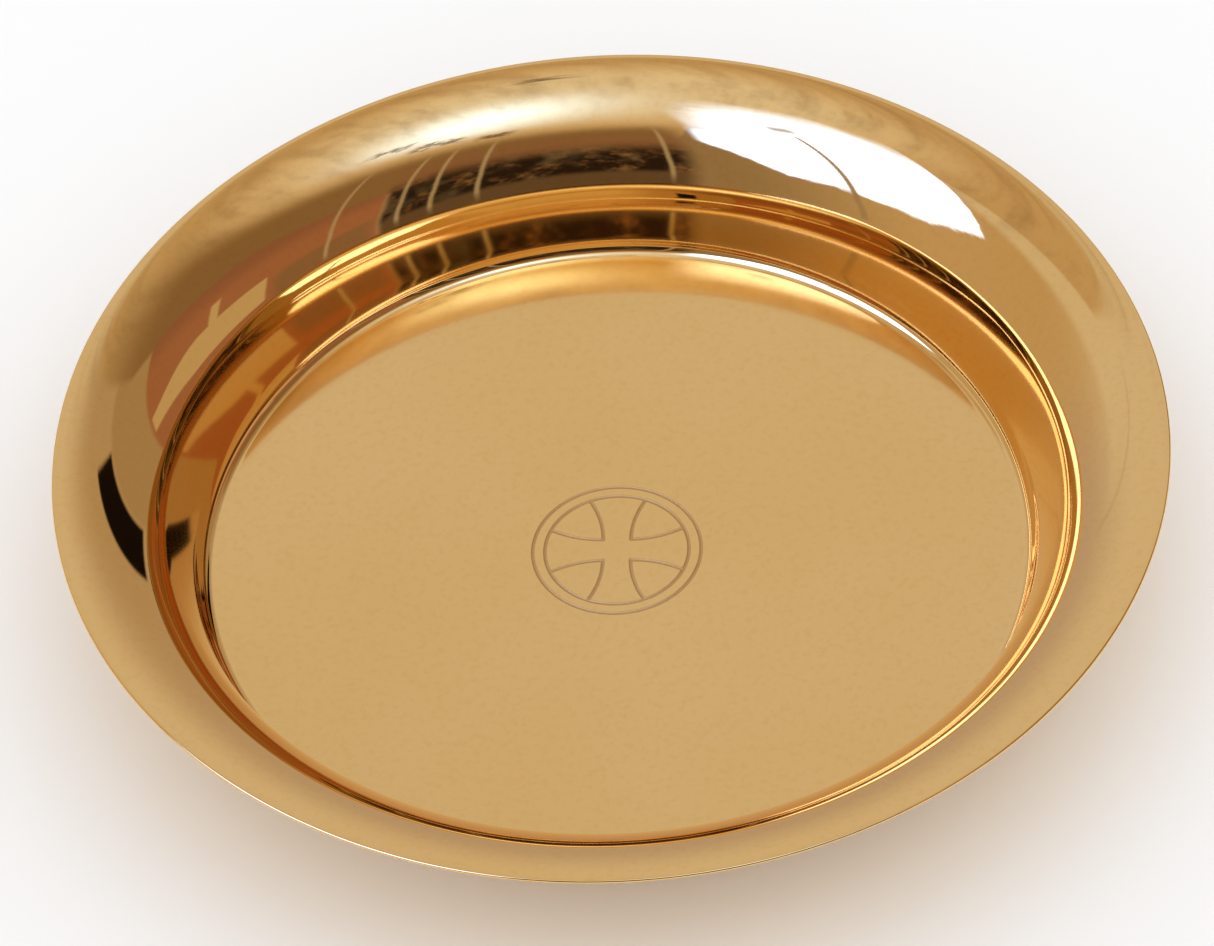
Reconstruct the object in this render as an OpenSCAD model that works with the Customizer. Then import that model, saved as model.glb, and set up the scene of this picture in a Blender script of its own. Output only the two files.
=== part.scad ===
// Communion bread plate (paten): one spun sheet-metal dish with a broad quarter-round rim,
// a steep well, a flat floor engraved with a cross in a double ring, and a felt base
// framed by a low soldered foot ring.
// The origin is the centre of the face that it rests on, and +Z is the axis of the dish.

/* [Dish] */
// Outside diameter of the rim
plate_d = 254; // [246:1:320]
// Radius of the flat floor of the well
floor_r = 93; // [91:0.1:97]
// Thickness of the spun sheet
sheet_t = 0.8; // [0.6:0.1:1.2]

/* [Well wall and rim] */
// Radius of the small hollow where the floor turns up into the wall
foot_fillet_r = 2.8; // [1.5:0.1:4]
// Slope of the wall where that hollow ends, in degrees
foot_slope = 64; // [58:1:70]
// Radius of the wider hollow above it
hollow_r = 13; // [8:0.5:20]
// Steepest slope of the wall, where it starts to roll outwards, in degrees
wall_slope = 79.5; // [74:0.5:84]
// Radius of the wall's long outward roll
wall_r = 53; // [40:1:60]
// Slope where the wall passes into the shoulder, in degrees
shoulder_slope = 62.5; // [58:0.5:66]
// Radius of the shoulder between the wall and the rim
shoulder_r = 19.5; // [10:0.5:28]
// Slope where the shoulder passes into the rim, in degrees
rim_slope = 50; // [44:0.5:56]
// Slope that the rim still has at its edge, in degrees
edge_slope = 3.5; // [0:0.5:8]

/* [Engraved emblem] */
// Radius of the outer ring, to the middle of its line
outer_ring_r = 19.4; // [17.5:0.1:24]
// Radius of the inner ring, to the middle of its line
inner_ring_r = 16.6; // [12:0.1:17]
// Width of the engraved lines
line_w = 0.9; // [0.4:0.1:1.2]
// Depth of the engraved lines
line_depth = 0.12; // [0.06:0.02:0.3]
// Half of the width of a cross arm where it leaves the centre
arm_half_w = 3.2; // [2:0.1:4]
// Half of the angle that an arm spans where it meets the inner ring, in degrees
arm_half_angle = 23; // [20:1:32]

/* [Base] */
// Outside radius of the foot ring
foot_ring_r = 88; // [70:0.5:90]
// Radial width of the foot ring
foot_ring_w = 2.4; // [1.6:0.1:4]
// Height of the foot ring
foot_ring_h = 1.6; // [1:0.1:1.8]
// Thickness of the felt pad, which carries the plate
felt_t = 2; // [1.9:0.1:3]
// Gap between the felt pad and the foot ring
felt_gap = 0.3; // [0.1:0.1:1]

/* [Hidden] */
$fn = 180;

// Levels of the floor of the well, above the resting face
floor_under_z = felt_t;
floor_top_z = felt_t + sheet_t;

// The way from the centre of a hollow arc to its point with a given slope. On a round arc the
// centre is below the surface, and the way is the opposite one.
function outward(slope) = [sin(slope), -cos(slope)];

// The upper surface of the dish is a chain of five tangent arcs, all in one radial section:
// the foot fillet and the hollow above it, then the wall, the shoulder and the rim, which are
// round.
foot_centre = [floor_r, floor_top_z + foot_fillet_r];
foot_end = foot_centre + foot_fillet_r * outward(foot_slope);
hollow_centre = foot_end - hollow_r * outward(foot_slope);
hollow_end = hollow_centre + hollow_r * outward(wall_slope);
wall_centre = hollow_end + wall_r * outward(wall_slope);
wall_end = wall_centre - wall_r * outward(shoulder_slope);
shoulder_centre = wall_end + shoulder_r * outward(shoulder_slope);
shoulder_end = shoulder_centre - shoulder_r * outward(rim_slope);
rim_end_x = plate_d / 2 - sheet_t / 2 * (1 + sin(edge_slope));
rim_r = (rim_end_x - shoulder_end[0]) / (sin(rim_slope) - sin(edge_slope));
rim_centre = shoulder_end + rim_r * outward(rim_slope);
edge_centre = rim_centre - (rim_r - sheet_t / 2) * outward(edge_slope);

// Straight steps that each arc of the section is drawn with
foot_steps = 10;
hollow_steps = 6;
wall_steps = 10;
shoulder_steps = 6;
rim_steps = 28;
edge_steps = 6;

// The side of a cross arm is an arc that leaves the corner (arm_half_w, arm_half_w) along the
// arm and ends on the inner ring, arm_half_angle away from the middle of the arm.
arm_end_x = inner_ring_r * sin(arm_half_angle);
arm_end_y = inner_ring_r * cos(arm_half_angle);
arm_run = arm_end_y - arm_half_w;
arm_flare = arm_end_x - arm_half_w;
arm_side_r = (arm_run * arm_run + arm_flare * arm_flare) / (2 * arm_flare);

// Lets a cut reach past the surface that it starts from
past = 1;

// A sector of the plane from angle a0 to angle a1, out to radius r
module sector(r, a0, a1) {
    reach = r / cos((a1 - a0) / 4);
    middle = (a0 + a1) / 2;
    polygon([
        [0, 0],
        reach * [cos(a0), sin(a0)],
        reach * [cos(middle), sin(middle)],
        reach * [cos(a1), sin(a1)]
    ]);
}

// A curved band between radii r_in and r_out, from angle a0 to angle a1
module arc_band(r_in, r_out, a0, a1) {
    intersection() {
        difference() {
            circle(r_out);
            circle(r_in);
        }
        sector(r_out + past, a0, a1);
    }
}

// Points on an arc from angle a0 to angle a1, without the point at a0
function arc_on(centre, r, a0, a1, steps) = [
    for (i = [1:steps])
        let (a = a0 + (a1 - a0) * i / steps)
            centre + r * [cos(a), sin(a)]
];

// The radial section of the sheet: out along its upper face, round the edge of the rim, and
// back along its lower face, which is everywhere one sheet thickness away
module dish_section() {
    foot = foot_slope - 90;
    steepest = wall_slope - 90;
    polygon(concat(
        [[0, floor_under_z], [0, floor_top_z], [floor_r, floor_top_z]],
        arc_on(foot_centre, foot_fillet_r, -90, foot, foot_steps),
        arc_on(hollow_centre, hollow_r, foot, steepest, hollow_steps),
        arc_on(wall_centre, wall_r, wall_slope + 90, shoulder_slope + 90, wall_steps),
        arc_on(shoulder_centre, shoulder_r, shoulder_slope + 90, rim_slope + 90, shoulder_steps),
        arc_on(rim_centre, rim_r, rim_slope + 90, edge_slope + 90, rim_steps),
        arc_on(edge_centre, sheet_t / 2, edge_slope + 90, edge_slope - 90, edge_steps),
        arc_on(rim_centre, rim_r - sheet_t, edge_slope + 90, rim_slope + 90, rim_steps),
        arc_on(shoulder_centre, shoulder_r - sheet_t, rim_slope + 90, shoulder_slope + 90,
            shoulder_steps),
        arc_on(wall_centre, wall_r - sheet_t, shoulder_slope + 90, wall_slope + 90, wall_steps),
        arc_on(hollow_centre, hollow_r + sheet_t, steepest, foot, hollow_steps),
        arc_on(foot_centre, foot_fillet_r + sheet_t, foot, -90, foot_steps)
    ));
}

// One engraved side of a cross arm, drawn for the arm that points along +Y
module arm_side_line() {
    arc_angle = asin(arm_run / arm_side_r);
    translate([arm_half_w + arm_side_r, arm_half_w])
        arc_band(arm_side_r - line_w / 2, arm_side_r + line_w / 2, 180 - arc_angle, 180);
    translate([arm_half_w, arm_half_w])
        circle(d = line_w);
}

// A ring-shaped engraved line
module ring_line(r) {
    difference() {
        circle(r + line_w / 2);
        circle(r - line_w / 2);
    }
}

// All the lines of the emblem: two rings and the outline of a cross with flared arms
module emblem_lines() {
    ring_line(outer_ring_r);
    ring_line(inner_ring_r);
    for (turn = [0:90:270])
        rotate(turn) {
            arm_side_line();
            mirror([1, 0])
                arm_side_line();
        }
}

module dish_shell() {
    color("goldenrod")
        difference() {
            rotate_extrude()
                dish_section();
            translate([0, 0, floor_top_z - line_depth])
                linear_extrude(line_depth + past)
                    emblem_lines();
        }
}

module foot_ring() {
    color("darkgoldenrod")
        translate([0, 0, floor_under_z - foot_ring_h])
            difference() {
                cylinder(r = foot_ring_r, h = foot_ring_h);
                translate([0, 0, -past])
                    cylinder(r = foot_ring_r - foot_ring_w, h = foot_ring_h + 2 * past);
            }
}

module felt_pad() {
    color("maroon")
        cylinder(r = foot_ring_r - foot_ring_w - felt_gap, h = felt_t);
}

dish_shell();
foot_ring();
felt_pad();
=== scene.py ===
import math

import bpy
import numpy as np
from mathutils import Matrix, Vector


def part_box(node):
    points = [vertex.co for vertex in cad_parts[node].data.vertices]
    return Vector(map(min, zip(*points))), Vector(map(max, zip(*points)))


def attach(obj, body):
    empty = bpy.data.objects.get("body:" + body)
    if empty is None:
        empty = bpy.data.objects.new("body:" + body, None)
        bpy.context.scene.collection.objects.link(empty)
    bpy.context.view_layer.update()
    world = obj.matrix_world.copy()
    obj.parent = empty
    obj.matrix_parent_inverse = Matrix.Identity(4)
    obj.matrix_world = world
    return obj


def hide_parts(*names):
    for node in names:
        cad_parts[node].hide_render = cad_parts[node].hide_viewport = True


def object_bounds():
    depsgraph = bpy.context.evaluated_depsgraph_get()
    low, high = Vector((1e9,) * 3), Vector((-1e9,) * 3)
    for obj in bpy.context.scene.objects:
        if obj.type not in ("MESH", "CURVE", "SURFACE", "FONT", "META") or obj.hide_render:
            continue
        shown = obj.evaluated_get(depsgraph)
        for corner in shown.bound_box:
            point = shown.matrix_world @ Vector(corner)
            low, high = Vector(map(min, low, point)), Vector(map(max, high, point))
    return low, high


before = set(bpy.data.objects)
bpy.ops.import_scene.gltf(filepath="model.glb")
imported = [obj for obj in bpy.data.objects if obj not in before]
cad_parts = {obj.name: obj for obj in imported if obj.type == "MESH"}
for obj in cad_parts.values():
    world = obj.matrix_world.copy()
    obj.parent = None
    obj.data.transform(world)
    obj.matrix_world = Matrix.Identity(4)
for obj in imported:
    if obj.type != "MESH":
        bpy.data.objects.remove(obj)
CAD_LOW, CAD_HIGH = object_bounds()

# ------------------------------------------------------------------ sizes, in metres and radians
# The outside sizes come from the CAD parts in model.glb, and the arcs of the section repeat the design.
DISH_LOW, DISH_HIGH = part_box("dish_shell")
RING_LOW, RING_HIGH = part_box("foot_ring")
PAD_LOW, PAD_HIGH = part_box("felt_pad")

SHEET_T = 0.0008
PLATE_R = DISH_HIGH.x
FLOOR_Z = DISH_LOW.z + SHEET_T
FLOOR_R = 0.0930
FOOT_FILLET_R = 0.0028
FOOT_SLOPE = math.radians(64)
HOLLOW_R = 0.013
WALL_SLOPE = math.radians(79.5)
WALL_R = 0.053
SHOULDER_LOW_SLOPE = math.radians(62.5)
SHOULDER_R = 0.0195
SHOULDER_HIGH_SLOPE = math.radians(50)
EDGE_SLOPE = math.radians(3.5)

OUTER_RING_R = 0.0194
INNER_RING_R = 0.0166
LINE_W = 0.0009
LINE_DEPTH = 0.00012
ARM_HALF_W = 0.0032
ARM_HALF_ANGLE = math.radians(23)

FOOT_RING_W = 0.0024
FOOT_RING_ROUND = 0.0005
SOLDER_FLARE = 0.00022
PAD_ROUND = 0.0005
# How far the felt's cut edge wanders, and how high its lower face waves
PAD_EDGE_WANDER = 0.00006
PAD_FACE_WAVE = 0.000012
# Each wave of the edge: how many there are in a turn, and its phase
PAD_EDGE_WAVES = ((5, 0.4), (11, 2.1), (23, 4.0), (47, 1.2), (89, 5.1))
# Each wave of the face: radians per metre along X and along Y, and its phase
PAD_FACE_WAVES = ((310, 120, 0.3), (-190, 420, 1.9), (640, -510, 3.3), (90, 830, 5.0))

# ------------------------------------------------------------------ how finely it is divided
# Points round a ring. The emblem's grid has twice as many.
SEGMENTS = 320
# Ring radii of the emblem's grid: the cross, and closer rings within this reach of a ring line
CROSS_GRID_FROM, CROSS_GRID_TO, CROSS_GRID_STEP = 0.0030, 0.0160, 0.00028
LINE_GRID_REACH = 0.00055
LINE_GRID_RINGS = 13
BETWEEN_LINES_RADII = [0.0173, 0.0176, 0.0180, 0.0184, 0.0187]
PAST_EMBLEM_RADII = [0.0202, 0.0206, 0.0210]
# Ring radii of the rest of the floor, outwards, and of the face under it, inwards
FLOOR_RADII = (0.0218, 0.04, 0.066, 0.086, 0.0925)
UNDER_RADII = (0.09, 0.06, 0.03, 0.005)
EDGE_STEPS = 8
FOOT_STEPS = 18
HOLLOW_STEPS = 8
WALL_STEPS = 16
SHOULDER_STEPS = 8
RIM_STEPS = 32
PAD_EDGE_STEPS = 6
PAD_FACE_RINGS = 46

# ------------------------------------------------------------------ where the picture is taken from
VIEW_ELEVATION = math.radians(47.6)
VIEW_TURN = math.radians(4.0)
VIEW_ROLL = math.radians(4.1)
VIEW_DISTANCE = 1.84
LENS_MM = 237.2
SENSOR_MM = 36.0
# Where the middle of the dish's floor lies from the middle of the picture
CENTRE_RIGHT = 0.0023
CENTRE_DOWN = 0.0177


def make_camera():
    """The camera looks down at the dish, slightly rolled, from a little to the right of -Y."""
    ahead = Vector((0, math.cos(VIEW_ELEVATION), -math.sin(VIEW_ELEVATION)))
    level = Vector((1, 0, 0))
    upright = level.cross(ahead)
    right = level * math.cos(VIEW_ROLL) - upright * math.sin(VIEW_ROLL)
    up = level * math.sin(VIEW_ROLL) + upright * math.cos(VIEW_ROLL)
    place = -ahead * VIEW_DISTANCE - right * CENTRE_RIGHT + up * CENTRE_DOWN
    pose = Matrix((right, up, -ahead)).transposed().to_4x4()
    pose.translation = place
    data = bpy.data.cameras.new("camera")
    data.lens = LENS_MM
    data.sensor_width = SENSOR_MM
    data.clip_end = 100
    camera = bpy.data.objects.new("camera", data)
    to_floor = Matrix.Translation((0, 0, FLOOR_Z))
    camera.matrix_world = to_floor @ Matrix.Rotation(VIEW_TURN, 4, "Z") @ pose
    bpy.context.scene.collection.objects.link(camera)
    bpy.context.scene.camera = camera


# ------------------------------------------------------------------ node helpers
class Nodes:
    """A node tree with short calls for what the materials and the surroundings need."""

    def __init__(self, tree):
        self.tree = tree
        tree.nodes.clear()

    def add(self, kind, inputs=None, **settings):
        node = self.tree.nodes.new(kind)
        for name, value in settings.items():
            setattr(node, name, value)
        for name, value in (inputs or {}).items():
            self.put(node.inputs[name], value)
        return node

    def put(self, socket, value):
        if isinstance(value, bpy.types.NodeSocket):
            self.tree.links.new(value, socket)
        else:
            socket.default_value = value

    def math(self, operation, first, second=0.0):
        return self.add("ShaderNodeMath", {0: first, 1: second}, operation=operation).outputs[0]

    def highest(self, values):
        result = values[0]
        for value in values[1:]:
            result = self.math("MAXIMUM", result, value)
        return result

    def line(self, value, at, slope, height):
        """height + slope * (value - at)"""
        run = self.math("MULTIPLY", self.math("SUBTRACT", value, at), slope)
        return self.math("ADD", run, height)

    def rise(self, value, low, high, start=0.0, stop=1.0):
        """start below low, stop above high, and a smooth step between them"""
        node = self.add(
            "ShaderNodeMapRange",
            {"Value": value, "From Min": low, "From Max": high, "To Min": start, "To Max": stop},
            interpolation_type="SMOOTHSTEP",
        )
        return node.outputs["Result"]

    def window(self, value, low, high, soft):
        """1 between low and high, 0 outside, with soft edges"""
        enter = self.rise(value, low - soft, low + soft)
        leave = self.rise(value, high - soft, high + soft, 1.0, 0.0)
        return self.math("MULTIPLY", enter, leave)

    def mix(self, amount, base, over):
        node = self.add("ShaderNodeMix", data_type="RGBA", clamp_factor=True)
        self.put(node.inputs["Factor"], amount)
        for socket, value in ((node.inputs[6], base), (node.inputs[7], over)):
            self.put(socket, value if isinstance(value, bpy.types.NodeSocket) else (*value, 1))
        return node.outputs[2]

    def noise(self, vector, scale, detail=2.0, roughness=0.5):
        node = self.add(
            "ShaderNodeTexNoise",
            {"Vector": vector, "Scale": scale, "Detail": detail, "Roughness": roughness},
        )
        return node.outputs["Fac"]


# ------------------------------------------------------------------ studio surroundings
# Directions round the dish are in degrees: azimuth from straight ahead of the camera, growing
# to the right, and elevation above the horizon. A plain white dome lights the floor. What the
# metal mirrors is a room: a bright cool opening behind the camera on the left, a soft skylight,
# pale walls, a warm ceiling with dark fixtures, coloured panels, slim stands and a dark flag.
WALL = (0.66, 0.64, 0.71)
WALL_LOW = (0.50, 0.45, 0.51)
SIDE_WALL = (0.54, 0.44, 0.35)
SHADED_WALL = (0.45, 0.37, 0.33)
WALL_BY_DARK = (0.30, 0.235, 0.19)
PILLAR = (0.38, 0.30, 0.235)
CEILING = (0.55, 0.45, 0.37)
CEILING_SHADED = (0.24, 0.16, 0.105)
CEILING_TOP = (0.69, 0.63, 0.64)
SKY = (0.76, 0.78, 0.93)
SKYLIGHT = (1.5, 2.3, 5.2)
OPENING = (1.9, 3.0, 8.5)
DOME = (1.13, 1.13, 1.13)
DOME_LOW = (0.98, 0.98, 0.99)
FLAG = (0.008, 0.005, 0.005)
DARK_SIDE = (0.022, 0.014, 0.013)
DARK_SIDE_TOP = (0.25, 0.15, 0.115)
DARK_SIDE_GREY = (0.16, 0.15, 0.14)
DARK_SIDE_FOOT = (0.12, 0.085, 0.07)
RED_PANEL = (0.34, 0.165, 0.125)
RED_PANEL_TOP = (0.26, 0.13, 0.11)
CREAM_PANEL = (0.52, 0.43, 0.345)
LOW_PANEL = (0.25, 0.155, 0.12)
STAND = (0.44, 0.40, 0.39)
LAMP_STAND = (0.36, 0.30, 0.26)
STAND_AZIMUTHS = (117.5, 135.5, 143.5, 154.5, -161.5)
STAND_HALF_WIDTH = 0.55
FIXTURE = (0.09, 0.05, 0.03)
# azimuth, elevation, half width and half height of each fixture
FIXTURES = ((108, 69, 8, 0.9), (131, 66, 9, 1.0), (152, 63.5, 5, 1.6), (5, 72, 3, 1.6))
SKYLIGHT_AZIMUTH = 130
SKYLIGHT_ELEVATION = 76
SKYLIGHT_SPREAD = 11.0
# First and last azimuth of each painted shape
PILLAR_SPAN = (44, 61)
FLAG_SPAN = (35.5, 43.5)
RED_SPAN = (60, 130.5)
LOW_PANEL_SPAN = (103, 129)
CREAM_SPAN = (61, 100.5)
POST_SPAN = (82.5, 85.5)
CORNER_SPAN = (-31.4, -30.6)
POLE_SPAN = (-118.2, -116.4)
LAMP_SPAN = (-123, -113)
# How strongly the streaks between boards show
BOARD_CONTRAST = 0.45
# The boards of the ceiling run together at this direction
BOARDS_AZIMUTH = 2
BOARDS_ELEVATION = 52


def toward(azimuth, elevation):
    """The unit vector of a direction given in degrees"""
    azimuth, elevation = math.radians(azimuth), math.radians(elevation)
    level = math.cos(elevation)
    return Vector((math.sin(azimuth) * level, math.cos(azimuth) * level, math.sin(elevation)))


def angle_from(n, direction, azimuth, elevation):
    """Degrees between the shaded direction and the given one"""
    dot = n.add(
        "ShaderNodeVectorMath", {0: direction, 1: toward(azimuth, elevation)},
        operation="DOT_PRODUCT",
    )
    return n.math("MULTIPLY", n.math("ARCCOSINE", dot.outputs["Value"]), math.degrees(1))


def paint_walls(n, azimuth, elevation):
    """Pale wall ahead, warmer at the sides, with a lighter stretch under the ceiling"""
    colour = n.mix(n.rise(elevation, 4, 38), WALL_LOW, WALL)
    colour = n.mix(n.rise(azimuth, -66, -32, 1.0, 0.0), colour, SIDE_WALL)
    colour = n.mix(n.rise(azimuth, 6, 34), colour, SHADED_WALL)
    colour = n.mix(n.rise(azimuth, -150, -98, 1.0, 0.0), colour, WALL_BY_DARK)
    lighter_from = n.line(azimuth, -60, -0.8, 43)
    lighter = n.math(
        "MULTIPLY",
        n.rise(n.math("SUBTRACT", elevation, lighter_from), -5, 4),
        n.window(azimuth, -80, -34, 5),
    )
    colour = n.mix(lighter, colour, WALL)
    corner = n.math("MULTIPLY", n.window(azimuth, *CORNER_SPAN, 0.5), n.window(elevation, 14, 44, 2))
    return n.mix(n.math("MULTIPLY", corner, 0.35), colour, SHADED_WALL)


def paint_ceiling(n, colour, azimuth, elevation):
    """Warm ceiling whose lower edge is highest ahead and on the left"""
    sideways = n.math("MULTIPLY", azimuth, azimuth)
    edge = n.highest([
        n.math("SUBTRACT", 53.0, n.math("MULTIPLY", sideways, 0.0048)),
        n.line(azimuth, -40, -0.39, 46),
        40.0,
    ])
    edge = n.math("MINIMUM", edge, n.rise(azimuth, -158, -150, 50.0, 60.0))
    shaded = n.mix(n.rise(elevation, 54, 66), CEILING_SHADED, CEILING)
    ceiling = n.mix(n.rise(azimuth, 8, 62), CEILING, shaded)
    ceiling = n.mix(n.rise(azimuth, -162, -150, 1.0, 0.0), ceiling, shaded)
    ceiling = n.mix(n.rise(elevation, 57, 67), ceiling, CEILING_TOP)
    above = n.rise(n.math("SUBTRACT", elevation, edge), -0.8, 1.2)
    return n.mix(above, colour, ceiling)


def paint_dark_side(n, colour, direction, azimuth, elevation):
    """The dim side behind the camera and to its right, uneven like a full room"""
    dark = n.math(
        "MAXIMUM", n.rise(azimuth, 129.5, 132.5), n.rise(azimuth, -160, -153, 1.0, 0.0)
    )
    upright = n.add("ShaderNodeVectorMath", {0: direction, 1: (1, 1, 0.16)}, operation="MULTIPLY")
    uneven = n.noise(upright.outputs[0], 9.0, 4.0, 0.7)
    patches = n.noise(upright.outputs[0], 5.0, 2.0, 0.6)
    dim = n.mix(n.rise(uneven, 0.46, 0.74), DARK_SIDE, DARK_SIDE_TOP)
    dim = n.mix(n.rise(patches, 0.52, 0.66, 0.0, 0.45), dim, DARK_SIDE_GREY)
    shade = n.mix(n.rise(elevation, 10, 18), DARK_SIDE_FOOT, dim)
    shade = n.mix(n.rise(elevation, 37, 49), shade, DARK_SIDE_TOP)
    below_ceiling = n.rise(elevation, 48, 57, 1.0, 0.0)
    return n.mix(n.math("MULTIPLY", dark, below_ceiling), colour, shade)


def paint_panels(n, colour, azimuth, elevation):
    """Red panels with a cream one in front, on the right"""
    top = n.math("SUBTRACT", 45.0, n.math("ABSOLUTE", n.line(azimuth, 92, 0.11, 0.0)))
    red = n.math(
        "MULTIPLY", n.window(azimuth, *RED_SPAN, 0.7),
        n.rise(n.math("SUBTRACT", elevation, top), -1.0, 1.0, 1.0, 0.0),
    )
    red_shade = n.mix(n.rise(elevation, 32, 43), RED_PANEL, RED_PANEL_TOP)
    colour = n.mix(red, colour, red_shade)
    low = n.math("MULTIPLY", n.window(azimuth, *LOW_PANEL_SPAN, 2.5), n.window(elevation, 2, 24, 2.5))
    colour = n.mix(low, colour, LOW_PANEL)
    cream_top = n.math("SUBTRACT", 26.0, n.rise(azimuth, 60, 80, 7.0, 0.0))
    cream_low = n.math("SUBTRACT", 13.0, n.rise(azimuth, 60, 100, 0.0, 4.0))
    cream = n.math(
        "MULTIPLY", n.rise(n.math("SUBTRACT", cream_top, elevation), -0.5, 0.5),
        n.rise(n.math("SUBTRACT", elevation, cream_low), -0.8, 0.8),
    )
    cream = n.math("MULTIPLY", cream, n.window(azimuth, *CREAM_SPAN, 0.5))
    post = n.math("MULTIPLY", n.window(azimuth, *POST_SPAN, 0.5), n.window(elevation, 20, 34, 0.8))
    return n.mix(n.math("MAXIMUM", cream, post), colour, CREAM_PANEL)


def paint_stands(n, colour, azimuth, elevation):
    """Slim pale stands on the right and behind"""
    for place in STAND_AZIMUTHS:
        stand = n.math(
            "MULTIPLY",
            n.window(azimuth, place - STAND_HALF_WIDTH, place + STAND_HALF_WIDTH, 0.4),
            n.window(elevation, 8, 58, 5),
        )
        colour = n.mix(n.math("MULTIPLY", stand, 0.85), colour, STAND)
    return colour


def paint_fixtures(n, colour, direction, azimuth, elevation):
    """Dark fixtures hanging from the ceiling, with ragged outlines"""
    ragged = n.line(n.noise(direction, 30.0, 3.0, 0.7), 0.5, 9.0, 0.0)
    for place, height, half_width, half_height in FIXTURES:
        fixture = n.math(
            "MULTIPLY",
            n.window(azimuth, place - half_width, place + half_width, 3.0),
            n.window(n.math("ADD", elevation, ragged), height - half_height, height + half_height, 0.8),
        )
        colour = n.mix(n.math("MULTIPLY", fixture, 0.75), colour, FIXTURE)
    return colour


def paint_opening(n, colour, direction, azimuth, elevation):
    """The bright opening, with uneven edges and a soft top, and a lamp on a pole before it"""
    ragged = n.line(n.noise(direction, 16.0, 3.0, 0.6), 0.5, 5.0, 0.0)
    sill = n.highest([
        31.5,
        n.line(azimuth, -150, -0.95, 47),
        n.line(azimuth, -103, 0.5, 30),
        n.line(azimuth, -80, 2.3, 40),
    ])
    off_middle = n.line(azimuth, -118, 1.0, 0.0)
    top = n.math(
        "SUBTRACT", 76.0, n.math("DIVIDE", n.math("MULTIPLY", off_middle, off_middle), 162.0)
    )
    inside = n.math(
        "MULTIPLY",
        n.rise(n.math("ADD", n.math("SUBTRACT", elevation, sill), ragged), -1.2, 1.8),
        n.rise(n.math("ADD", n.math("SUBTRACT", elevation, top), ragged), -11.0, 6.0, 1.0, 0.0),
    )
    hard_side = n.rise(azimuth, -153.5, -149)
    soft_side = n.rise(azimuth, -160, -132)
    below_soft_part = n.rise(elevation, 54, 64, 1.0, 0.0)
    side = n.math("MULTIPLY", hard_side, n.math("MAXIMUM", soft_side, below_soft_part))
    inside = n.math("MULTIPLY", inside, side)
    colour = n.mix(inside, colour, OPENING)
    pole = n.math("MULTIPLY", n.window(azimuth, *POLE_SPAN, 0.5), n.window(elevation, 8, 62, 2))
    lamp = n.math("MULTIPLY", n.window(azimuth, *LAMP_SPAN, 2.5), n.window(elevation, 63, 66, 1.5))
    lamp = n.math("MULTIPLY", lamp, 0.86)
    return n.mix(n.math("MAXIMUM", pole, lamp), colour, LAMP_STAND)


def board_streaks(n, direction):
    """Soft brightness changes between boards that run together at one direction"""
    aim = toward(BOARDS_AZIMUTH, BOARDS_ELEVATION)
    across = Vector((0, 0, 1)).cross(aim).normalized()
    upward = aim.cross(across)
    parts = [
        n.add("ShaderNodeVectorMath", {0: direction, 1: axis}, operation="DOT_PRODUCT")
        for axis in (across, upward)
    ]
    turn = n.math("ARCTAN2", parts[0].outputs["Value"], parts[1].outputs["Value"])
    away = angle_from(n, direction, BOARDS_AZIMUTH, BOARDS_ELEVATION)
    at = n.add("ShaderNodeCombineXYZ", {"X": turn, "Y": n.math("MULTIPLY", away, 0.0025), "Z": 0.0})
    streaks = n.noise(at.outputs[0], 11.0, 4.0, 0.7)
    fades = n.math("MULTIPLY", n.rise(away, 1.0, 6.0), n.rise(away, 20.0, 70.0, 1.0, 0.0))
    return n.math("MULTIPLY", n.rise(streaks, 0.42, 0.7), fades)


def paint_pillar(n, colour, azimuth, elevation):
    """A brown pillar that ends below the ceiling"""
    below_top = n.rise(elevation, 42, 45, 1.0, 0.0)
    pillar = n.math("MULTIPLY", n.window(azimuth, *PILLAR_SPAN, 1.0), below_top)
    return n.mix(pillar, colour, PILLAR)


def paint_flag(n, colour, azimuth, elevation):
    """A black flag with a slanting top, beside the pillar"""
    top = n.line(azimuth, 36, -0.5, 37)
    below_top = n.rise(n.math("SUBTRACT", elevation, top), -0.8, 0.8, 1.0, 0.0)
    upright = n.math("MULTIPLY", n.rise(elevation, 4, 6), below_top)
    return n.mix(n.math("MULTIPLY", n.window(azimuth, *FLAG_SPAN, 0.5), upright), colour, FLAG)


def paint_overhead(n, colour, direction, elevation):
    """Cool light from above, with a bright skylight in it"""
    overhead = n.mix(n.rise(elevation, 64, 74), colour, SKY)
    off_skylight = n.math(
        "DIVIDE", angle_from(n, direction, SKYLIGHT_AZIMUTH, SKYLIGHT_ELEVATION), SKYLIGHT_SPREAD
    )
    squared = n.math("MULTIPLY", off_skylight, off_skylight)
    glow = n.math("EXPONENT", n.math("MULTIPLY", squared, -1.0))
    return n.mix(n.math("MULTIPLY", glow, n.rise(elevation, 61, 69)), overhead, SKYLIGHT)


def paint_boards(n, colour, direction, elevation):
    """Darker streaks between the boards of the ceiling"""
    boarded = n.math("MULTIPLY", board_streaks(n, direction), n.rise(elevation, 45, 54))
    return n.mix(n.math("MULTIPLY", boarded, BOARD_CONTRAST), colour, CEILING_SHADED)


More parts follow.
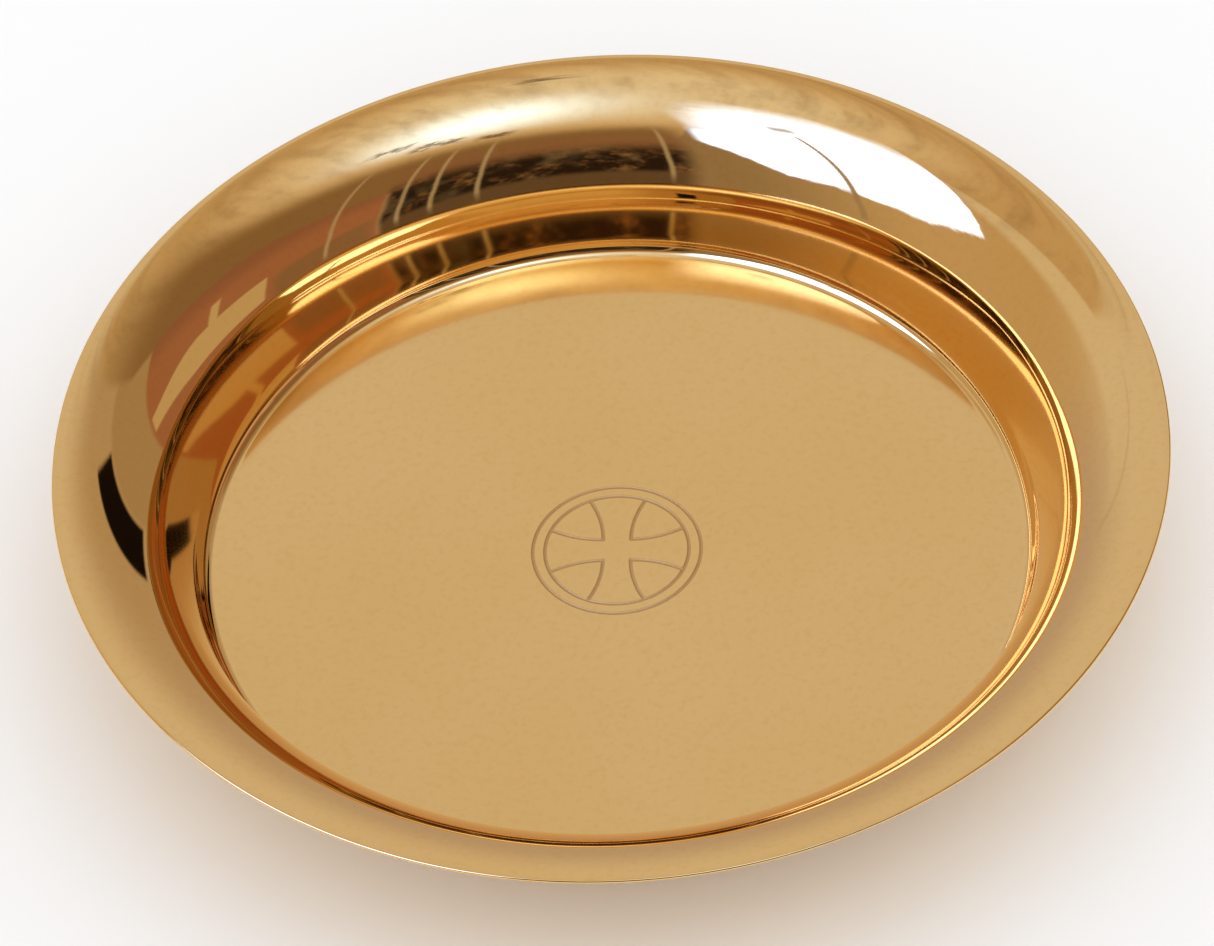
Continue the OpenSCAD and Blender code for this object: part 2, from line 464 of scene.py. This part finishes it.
def make_surroundings():
    """The world: a plain dome for the floor and the background, and the room for reflections"""
    world = bpy.data.worlds.new("surroundings")
    bpy.context.scene.world = world
    world.use_nodes = True
    n = Nodes(world.node_tree)
    seen = n.add("ShaderNodeTexCoord").outputs["Generated"]
    direction = n.add(
        "ShaderNodeVectorRotate", {"Vector": seen, "Angle": -VIEW_TURN}, rotation_type="Z_AXIS"
    ).outputs["Vector"]
    xyz = n.add("ShaderNodeSeparateXYZ", {"Vector": direction}).outputs
    azimuth = n.math("MULTIPLY", n.math("ARCTAN2", xyz["X"], xyz["Y"]), math.degrees(1))
    elevation = n.math("MULTIPLY", n.math("ARCSINE", xyz["Z"]), math.degrees(1))

    colour = paint_walls(n, azimuth, elevation)
    colour = paint_pillar(n, colour, azimuth, elevation)
    colour = paint_ceiling(n, colour, azimuth, elevation)
    colour = paint_dark_side(n, colour, direction, azimuth, elevation)
    colour = paint_panels(n, colour, azimuth, elevation)
    colour = paint_flag(n, colour, azimuth, elevation)
    colour = paint_stands(n, colour, azimuth, elevation)
    colour = paint_overhead(n, colour, direction, elevation)
    colour = paint_boards(n, colour, direction, elevation)
    colour = paint_fixtures(n, colour, direction, azimuth, elevation)
    colour = paint_opening(n, colour, direction, azimuth, elevation)

    dome = n.mix(n.rise(elevation, 0, 60), DOME_LOW, DOME)
    mirrored = n.add("ShaderNodeLightPath").outputs["Is Glossy Ray"]
    light = n.add("ShaderNodeBackground", {"Color": n.mix(mirrored, dome, colour)})
    n.add("ShaderNodeOutputWorld", {"Surface": light.outputs[0]})


# ------------------------------------------------------------------ meshes
def make_piece(name, points, faces, material, replaced, attributes=None):
    """A smooth mesh piece that rides on the root body and stands for one CAD node."""
    mesh = bpy.data.meshes.new(name)
    mesh.from_pydata([tuple(p) for p in points], [], faces)
    mesh.validate()
    mesh.shade_smooth()
    for key, values in (attributes or {}).items():
        mesh.attributes.new(key, "FLOAT", "POINT").data.foreach_set("value", values)
    mesh.materials.append(material)
    piece = bpy.data.objects.new(name, mesh)
    bpy.context.scene.collection.objects.link(piece)
    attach(piece, "root")
    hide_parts(replaced)
    return piece


def ring_points(r, z, count):
    """count points round the axis at radius r"""
    turns = np.arange(count) * (2 * math.pi / count)
    return np.column_stack([r * np.cos(turns), r * np.sin(turns), np.full(count, z)])


def ring_faces(first, second, count):
    """Quads between two rings of count points that start at those vertex numbers"""
    return [
        (first + k, second + k, second + (k + 1) % count, first + (k + 1) % count)
        for k in range(count)
    ]


def turned_solid(section, count):
    """Points and faces of a closed section, a list of (r, z), turned round the axis"""
    points = np.vstack([ring_points(r, z, count) for r, z in section])
    faces = []
    for i in range(len(section)):
        faces += ring_faces(i * count, (i + 1) % len(section) * count, count)
    return points, faces


class Arc:
    """One arc of the dish's upper surface, from one slope to another. Hollow arcs curve up."""

    def __init__(self, start, radius, first, last, hollow, steps):
        self.radius, self.first, self.last, self.steps = radius, first, last, steps
        self.side = 1 if hollow else -1
        self.centre = (start[0] - self.side * radius * math.sin(first),
                       start[1] + self.side * radius * math.cos(first))

    def at(self, slope, depth=0.0):
        """The point with that slope, depth below the upper surface"""
        reach = self.side * self.radius + depth
        return (self.centre[0] + reach * math.sin(slope), self.centre[1] - reach * math.cos(slope))

    def points(self, depth=0.0, every=1):
        """Points along the arc, without the first. A larger every gives fewer of them."""
        steps = self.steps // every
        spread = (self.last - self.first) / steps
        return [self.at(self.first + spread * i, depth) for i in range(1, steps + 1)]


def dish_arcs():
    """The chain of tangent arcs from the floor to the edge of the rim"""
    foot = Arc((FLOOR_R, FLOOR_Z), FOOT_FILLET_R, 0, FOOT_SLOPE, True, FOOT_STEPS)
    hollow = Arc(foot.at(FOOT_SLOPE), HOLLOW_R, FOOT_SLOPE, WALL_SLOPE, True, HOLLOW_STEPS)
    wall = Arc(hollow.at(WALL_SLOPE), WALL_R, WALL_SLOPE, SHOULDER_LOW_SLOPE, False, WALL_STEPS)
    shoulder = Arc(wall.at(SHOULDER_LOW_SLOPE), SHOULDER_R, SHOULDER_LOW_SLOPE,
                   SHOULDER_HIGH_SLOPE, False, SHOULDER_STEPS)
    rim_start = shoulder.at(SHOULDER_HIGH_SLOPE)
    rim_end_r = PLATE_R - SHEET_T / 2 * (1 + math.sin(EDGE_SLOPE))
    rim_r = (rim_end_r - rim_start[0]) / (math.sin(SHOULDER_HIGH_SLOPE) - math.sin(EDGE_SLOPE))
    rim = Arc(rim_start, rim_r, SHOULDER_HIGH_SLOPE, EDGE_SLOPE, False, RIM_STEPS)
    return [foot, hollow, wall, shoulder, rim]


def dish_outline():
    """Upper surface from the floor's edge outwards, round the edge of the rim, and back below"""
    arcs = dish_arcs()
    upper = [(FLOOR_R, FLOOR_Z)]
    lower = [arcs[0].at(0, SHEET_T)]
    for arc in arcs:
        upper += arc.points()
        lower += arc.points(SHEET_T, every=2)
    edge_r, edge_z = arcs[-1].at(EDGE_SLOPE, SHEET_T / 2)
    turns = [math.pi / 2 + EDGE_SLOPE - math.pi * i / EDGE_STEPS for i in range(1, EDGE_STEPS)]
    edge = [(edge_r + SHEET_T / 2 * math.cos(a), edge_z + SHEET_T / 2 * math.sin(a)) for a in turns]
    return upper, edge, lower[::-1]


def line_distance(points):
    """Distance of each floor point from the nearest line of the emblem"""
    radius = np.hypot(points[:, 0], points[:, 1])
    nearest = np.minimum(abs(radius - OUTER_RING_R), abs(radius - INNER_RING_R))
    # The cross is the same in all eight octants, so the points are folded into one of them
    across = np.minimum(abs(points[:, 0]), abs(points[:, 1]))
    along = np.maximum(abs(points[:, 0]), abs(points[:, 1]))
    end = np.array([math.sin(ARM_HALF_ANGLE), math.cos(ARM_HALF_ANGLE)]) * INNER_RING_R
    run, flare = end[1] - ARM_HALF_W, end[0] - ARM_HALF_W
    side_r = (run * run + flare * flare) / (2 * flare)
    side = abs(np.hypot(across - ARM_HALF_W - side_r, along - ARM_HALF_W) - side_r)
    side = np.where(along > end[1], np.hypot(across - end[0], along - end[1]), side)
    corner = np.hypot(across - ARM_HALF_W, along - ARM_HALF_W)
    side = np.where(along < ARM_HALF_W, corner, side)
    return np.minimum(nearest, side)


def engraved(points):
    """The floor points sunk into the emblem's rounded grooves, and how deep in one each is"""
    share = np.minimum(line_distance(points) / (LINE_W / 2), 1)
    groove = (1 - share ** 2) ** 1.5
    sunk = points.copy()
    sunk[:, 2] -= LINE_DEPTH * groove
    return sunk, groove


def floor_radii():
    """Ring radii for the emblem's fine grid, closest together across the two ring lines"""
    radii = list(np.arange(CROSS_GRID_FROM, CROSS_GRID_TO, CROSS_GRID_STEP))
    for middle in (INNER_RING_R, OUTER_RING_R):
        reach = (middle - LINE_GRID_REACH, middle + LINE_GRID_REACH)
        radii += list(np.linspace(*reach, LINE_GRID_RINGS))
    return sorted(radii + BETWEEN_LINES_RADII + PAST_EMBLEM_RADII)


def joining_faces(inner, outer, count):
    """Triangles from a ring of 2 * count points to a ring of count points outside it"""
    faces = []
    for k in range(count):
        a, b, c = inner + 2 * k, inner + 2 * k + 1, inner + (2 * k + 2) % (2 * count)
        p, q = outer + k, outer + (k + 1) % count
        faces += [(a, p, b), (p, q, b), (b, q, c)]
    return faces


def make_dish(material):
    """The spun dish: a fine engraved disc in the middle, and a lathe mesh round it"""
    fine = SEGMENTS * 2
    radii = floor_radii()
    inner = np.vstack([ring_points(r, FLOOR_Z, fine) for r in radii])
    inner, groove = engraved(inner)
    faces = []
    for i in range(len(radii) - 1):
        faces += ring_faces(i * fine, (i + 1) * fine, fine)
    upper, edge, lower = dish_outline()
    upper = [(r, FLOOR_Z) for r in FLOOR_RADII] + upper
    lower = lower + [(r, DISH_LOW.z) for r in UNDER_RADII]
    section = upper + edge + lower
    outer = np.vstack([ring_points(r, z, SEGMENTS) for r, z in section])
    start = len(inner)
    faces += joining_faces((len(radii) - 1) * fine, start, SEGMENTS)
    for i in range(len(section) - 1):
        faces += ring_faces(start + i * SEGMENTS, start + (i + 1) * SEGMENTS, SEGMENTS)
    top_centre = start + len(outer)
    centres = np.array([[0, 0, FLOOR_Z], [0, 0, DISH_LOW.z]])
    faces += [(top_centre, k, (k + 1) % fine) for k in range(fine)]
    last = start + (len(section) - 1) * SEGMENTS
    faces += [(top_centre + 1, last + (k + 1) % SEGMENTS, last + k) for k in range(SEGMENTS)]
    points = np.vstack([inner, outer, centres])
    in_groove = np.concatenate([groove, np.zeros(len(outer) + 2)])
    make_piece("spun_dish", points, faces, material, "dish_shell", {"groove": in_groove})


def make_foot_ring(material):
    """The soldered ring: rounded below, with a small flare of solder where it meets the dish"""
    outer_r, inner_r = RING_HIGH.x, RING_HIGH.x - FOOT_RING_W
    low, high = RING_LOW.z, RING_HIGH.z
    round_r, flare = FOOT_RING_ROUND, SOLDER_FLARE
    quarter = [math.radians(15 * i) for i in range(7)]
    section = [(outer_r + flare * (1 - math.sin(a)), high - flare * (1 - math.cos(a))) for a in quarter]
    section += [(outer_r - round_r * (1 - math.cos(a)), low + round_r * (1 - math.sin(a)))
                for a in quarter]
    section += [(inner_r + round_r * (1 - math.sin(a)), low + round_r * (1 - math.cos(a)))
                for a in quarter]
    section += [(inner_r - flare * (1 - math.cos(a)), high - flare * (1 - math.sin(a)))
                for a in quarter]
    points, faces = turned_solid(section, SEGMENTS)
    make_piece("solder_foot_ring", points, faces, material, "foot_ring")


def make_felt_pad(material):
    """The felt disc, with a cut edge that wanders a little and a softly uneven lower face"""
    pad_r, low, high = PAD_HIGH.x, PAD_LOW.z, PAD_HIGH.z
    turns = np.arange(SEGMENTS) * (2 * math.pi / SEGMENTS)
    wander = sum(np.sin(turns * count + phase) / count ** 0.5 for count, phase in PAD_EDGE_WAVES)
    wander = PAD_EDGE_WANDER * (wander - wander.max())
    bends = [math.pi / 2 * i / PAD_EDGE_STEPS for i in range(PAD_EDGE_STEPS + 1)]
    side = [(pad_r - PAD_ROUND * (1 - math.cos(a)), low + PAD_ROUND * (1 - math.sin(a))) for a in bends]
    inner_radii = np.linspace(side[-1][0], 0.002, PAD_FACE_RINGS)[1:]
    section = [(0.002, high), (pad_r * 0.5, high), (pad_r, high)] + side
    section += [(r, low) for r in inner_radii]
    rings = []
    for r, z in section:
        ring = ring_points(r, z, SEGMENTS)
        if r > pad_r * 0.99:
            ring[:, :2] *= 1 + (wander / r)[:, None]
        rings.append(ring)
    points = np.vstack(rings)
    below = points[:, 2] < low + PAD_ROUND / 2
    waves = sum(
        np.sin(points[:, 0] * kx + points[:, 1] * ky + phase)
        for kx, ky, phase in PAD_FACE_WAVES
    )
    points[below, 2] += PAD_FACE_WAVE * (waves - waves.min())[below]
    faces = []
    for i in range(len(section) - 1):
        faces += ring_faces(i * SEGMENTS, (i + 1) * SEGMENTS, SEGMENTS)
    last = (len(section) - 1) * SEGMENTS
    top, bottom = len(points), len(points) + 1
    points = np.vstack([points, [[0, 0, high], [0, 0, low + 0.00004]]])
    faces += [(top, k, (k + 1) % SEGMENTS) for k in range(SEGMENTS)]
    faces += [(bottom, last + (k + 1) % SEGMENTS, last + k) for k in range(SEGMENTS)]
    pad = make_piece("felt_base", points, faces, material, "felt_pad")


# ------------------------------------------------------------------ materials
GILT = (0.93, 0.60, 0.21)
GILT_PALE = (0.94, 0.62, 0.23)
GILT_DEEP = (0.86, 0.51, 0.155)
GROOVE_PAINTED_SHADE = (0.34, 0.17, 0.06)
FELT = (0.20, 0.012, 0.028)
FELT_PALE = (0.33, 0.04, 0.06)
FELT_DARK = (0.10, 0.005, 0.014)


def new_material(name):
    material = bpy.data.materials.new(name)
    material.use_nodes = True
    return material, Nodes(material.node_tree)


def polished_gilt():
    """Gilt brass: mirror bright on the rim, finely satin on the floor, with faint lathe lines"""
    material, n = new_material("polished_gilt")
    place = n.add("ShaderNodeTexCoord").outputs["Object"]
    xyz = n.add("ShaderNodeSeparateXYZ", {"Vector": place}).outputs
    flat = n.add("ShaderNodeCombineXYZ", {"X": xyz["X"], "Y": xyz["Y"], "Z": 0.0}).outputs[0]
    radius = n.add("ShaderNodeVectorMath", {0: flat}, operation="LENGTH").outputs["Value"]
    on_floor = n.rise(radius, FLOOR_R - 0.0012, FLOOR_R + 0.0004, 1.0, 0.0)

    # Tone: broad drifts of the gilding, fine mottle on the floor and painted shade in the grooves
    drift = n.noise(place, 14.0, 3.0)
    colour = n.mix(n.rise(drift, 0.35, 0.7), GILT, GILT_PALE)
    mottle = n.noise(place, 600.0, 3.0, 0.6)
    colour = n.mix(n.math("MULTIPLY", n.rise(mottle, 0.45, 0.75), 0.36), colour, GILT_DEEP)
    groove = n.add("ShaderNodeAttribute", attribute_name="groove").outputs["Fac"]
    # Painted shade: the grooves are darkened to stand in for the dimmer surroundings their walls mirror
    colour = n.mix(n.rise(groove, 0.0, 0.12, 0.0, 0.46), colour, GROOVE_PAINTED_SHADE)

    # Finish: roughness changes from rim to floor, with smudges
    smudge = n.rise(n.noise(place, 30.0, 4.0, 0.6), 0.45, 0.75, 0.0, 0.02)
    finish = n.rise(on_floor, 0.0, 1.0, 0.03, 0.09)
    roughness = n.math("ADD", finish, smudge)
    roughness = n.math("ADD", roughness, n.rise(groove, 0.0, 0.15, 0.0, 0.40))

    # Surface: lathe lines follow the radius; the sheet also waves very slightly
    across = n.math("ADD", radius, xyz["Z"])
    lathe_at = n.add("ShaderNodeCombineXYZ", {"X": across, "Y": 0.0, "Z": 0.0}).outputs[0]
    lathe = n.noise(lathe_at, 2600.0, 4.0, 0.7)
    grain = n.noise(place, 1500.0, 2.0, 0.6)
    lathe_bump = n.add("ShaderNodeBump", {"Strength": 1.0, "Distance": 0.0000004, "Height": lathe})
    grain_bump = n.add(
        "ShaderNodeBump",
        {"Strength": 1.0, "Distance": 0.0000006, "Height": grain, "Normal": lathe_bump.outputs[0]},
    )
    shader = n.add(
        "ShaderNodeBsdfPrincipled",
        {
            "Base Color": colour,
            "Metallic": 1.0,
            "Roughness": roughness,
            "Normal": grain_bump.outputs[0],
        },
    )
    n.add("ShaderNodeOutputMaterial", {"Surface": shader.outputs[0]})
    return material


def pressed_felt():
    """Wool felt: matted fibres in several sizes, with a soft sheen"""
    material, n = new_material("pressed_felt")
    place = n.add("ShaderNodeTexCoord").outputs["Object"]
    patches = n.noise(place, 60.0, 3.0, 0.6)
    clumps = n.noise(place, 420.0, 4.0, 0.7)
    fibres = n.noise(place, 1400.0, 5.0, 0.75)
    warped = n.add("ShaderNodeVectorMath", {0: place, 1: (1.0, 0.25, 1.0)}, operation="MULTIPLY")
    strands = n.noise(warped.outputs[0], 2600.0, 3.0, 0.7)
    colour = n.mix(n.rise(patches, 0.35, 0.7, 0.0, 0.3), FELT, FELT_DARK)
    colour = n.mix(n.rise(clumps, 0.42, 0.68, 0.0, 0.6), colour, FELT_DARK)
    colour = n.mix(n.rise(fibres, 0.5, 0.8), colour, FELT_PALE)
    height = n.math("ADD", fibres, strands)
    bump = n.add("ShaderNodeBump", {"Strength": 0.9, "Distance": 0.00012, "Height": height})
    shader = n.add(
        "ShaderNodeBsdfPrincipled",
        {
            "Base Color": colour,
            "Roughness": n.rise(fibres, 0.3, 0.7, 0.85, 1.0),
            "Sheen Weight": 0.35,
            "Sheen Roughness": 0.5,
            "Sheen Tint": (0.8, 0.35, 0.4, 1),
            "Normal": bump.outputs[0],
        },
    )
    n.add("ShaderNodeOutputMaterial", {"Surface": shader.outputs[0]})
    return material


def pale_floor():
    """Plain pale paper under the dish"""
    material, n = new_material("pale_floor")
    place = n.add("ShaderNodeTexCoord").outputs["Object"]
    tone = n.mix(n.noise(place, 3.0, 2.0), (0.90, 0.90, 0.90), (0.93, 0.93, 0.93))
    shader = n.add("ShaderNodeBsdfPrincipled", {"Base Color": tone, "Roughness": 1.0})
    n.add("ShaderNodeOutputMaterial", {"Surface": shader.outputs[0]})
    return material


def make_floor():
    """The plain floor that the plate stands on"""
    half = 20.0
    z = CAD_LOW.z - 0.00005
    mesh = bpy.data.meshes.new("floor")
    mesh.from_pydata([(-half, -half, z), (half, -half, z), (half, half, z), (-half, half, z)], [],
                     [(0, 1, 2, 3)])
    mesh.materials.append(pale_floor())
    floor = bpy.data.objects.new("floor", mesh)
    bpy.context.scene.collection.objects.link(floor)


make_camera()
make_surroundings()
make_floor()
gilt = polished_gilt()
make_dish(gilt)
make_foot_ring(gilt)
make_felt_pad(pressed_felt())
bpy.context.scene.view_settings.view_transform = "Standard"
